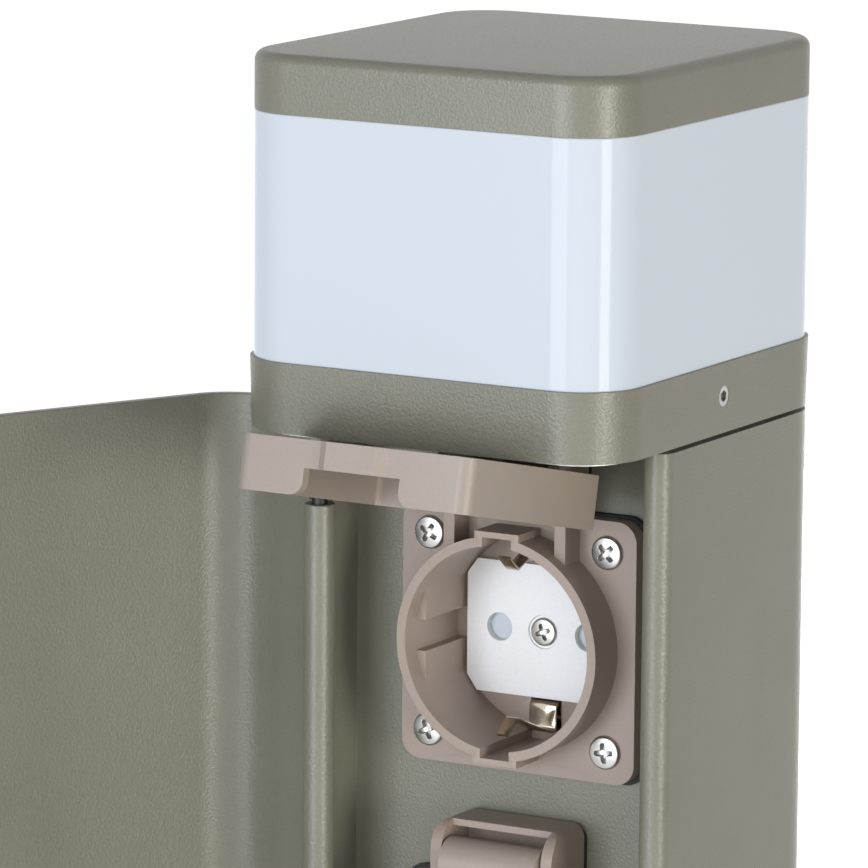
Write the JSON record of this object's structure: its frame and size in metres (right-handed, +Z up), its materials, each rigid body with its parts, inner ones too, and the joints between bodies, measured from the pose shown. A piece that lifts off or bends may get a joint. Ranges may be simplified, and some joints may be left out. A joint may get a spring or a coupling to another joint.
{
  "type": "garden lamp post with sockets",
  "caption": "Square garden lamp post with an opal light head and weatherproof lidded sockets behind a hinged front door.",
  "frame": {"origin": "on the ground, at the centre of the base plate's four anchor holes, under the middle of the lamp head", "axes": "+X to the right and +Y to the back as one faces the sockets, +Z up the post"},
  "size_m": [0.1552, 0.1429, 0.4506],
  "materials": {
    "post_paint": "fine-texture powder coat, matt",
    "cast_base": "bead-blasted",
    "opal": "smooth opal, glossy",
    "socket_plastic": "fine spark texture",
    "lid_plastic": "fine spark texture",
    "white_plastic": "smooth",
    "blue_grey_plastic": "smooth",
    "black_plastic": "moulded",
    "rubber": "soft black",
    "zinc": "bright zinc",
    "spring_steel": "plain",
    "clip_metal": "nickel-plated",
    "contact_metal": "plain",
    "spreader": "rolled",
    "board": "white solder resist",
    "led": "phosphor",
    "lock_metal": "polished"
  },
  "bodies": {
    "post": {"base_plate": "cast_base", "foot": "post_paint", "foot_screws": "zinc", "port_screws": "zinc", "gland_body": "black_plastic", "gland_nut": "black_plastic", "gland_cap": "black_plastic", "gland_seal": "rubber", "column": "post_paint", "terminal_block": "white_plastic", "terminal_screws": "zinc", "led_driver": "black_plastic", "inner_screws": "zinc", "hinge_bracket_bottom": "post_paint", "hinge_bracket_top": "post_paint", "hinge_screws": "zinc", "hinge_pin": "zinc", "hinge_washer": "black_plastic", "flange_screws": "zinc", "insert_screws": "zinc", "lid_pins": "zinc", "earth_clips": "clip_metal", "pin_contacts": "contact_metal", "lamp_seat": "cast_base", "collar": "post_paint", "set_screws": "zinc", "diffuser": "opal", "diffuser_gaskets": "rubber", "cap": "post_paint", "cap_screws": "zinc", "heat_spreader": "spreader", "led_board": "board", "leds": "led", "board_screws": "zinc", "upper_socket_body": "socket_plastic", "upper_gasket": "rubber", "upper_insert": "white_plastic", "upper_contact_carrier": "black_plastic", "upper_shutter_springs": "spring_steel", "lower_socket_body": "socket_plastic", "lower_gasket": "rubber", "lower_insert": "white_plastic", "lower_contact_carrier": "black_plastic", "lower_shutter_springs": "spring_steel"},
    "door_leaf": {"door": "post_paint", "lock_housing": "lock_metal", "lock_nut": "lock_metal"},
    "lock_rotor": {"lock_core": "lock_metal", "lock_cam": "zinc", "cam_screw": "zinc"},
    "upper_flap": {"upper_lid": "lid_plastic", "upper_lid_seal": "rubber"},
    "lower_flap": {"lower_lid": "lid_plastic", "lower_lid_seal": "rubber"},
    "upper_slide": {"upper_shutter": "blue_grey_plastic"},
    "lower_slide": {"lower_shutter": "blue_grey_plastic"}
  },
  "joints": [
    {"name": "door_hinge", "type": "hinge", "parent": "post", "child": "door_leaf", "pos_m": [-0.0373, -0.0146, 0.2], "axis": [0, 0, 1], "range_deg": [0, 116]},
    {"name": "upper_lid_hinge", "type": "hinge", "parent": "post", "child": "upper_flap", "pos_m": [0, -0.0113, 0.3677], "axis": [1, 0, 0], "range_deg": [0, 102.7]},
    {"name": "lower_lid_hinge", "type": "hinge", "parent": "post", "child": "lower_flap", "pos_m": [0, -0.0113, 0.2957], "axis": [1, 0, 0], "range_deg": [-102.7, 0]},
    {"name": "upper_shutter_slide", "type": "slide", "parent": "post", "child": "upper_slide", "axis": [0, 0, -1], "range_m": [0, 0.0058], "stiffness_N_per_m": 60, "springref_m": -0.002, "deforming": ["upper_shutter_springs"]},
    {"name": "lower_shutter_slide", "type": "slide", "parent": "post", "child": "lower_slide", "axis": [0, 0, -1], "range_m": [0, 0.0058], "stiffness_N_per_m": 60, "springref_m": -0.002, "deforming": ["lower_shutter_springs"]},
    {"name": "lock_turn", "type": "hinge", "parent": "door_leaf", "child": "lock_rotor", "pos_m": [-0.08625, -0.04836, 0.2], "axis": [-0.8988, 0.4384, 0], "range_deg": [0, 90]}
  ],
  "couplings": [
    {"joint": "upper_lid_hinge", "follows": "door_hinge", "ratio": 0.88534}
  ]
}
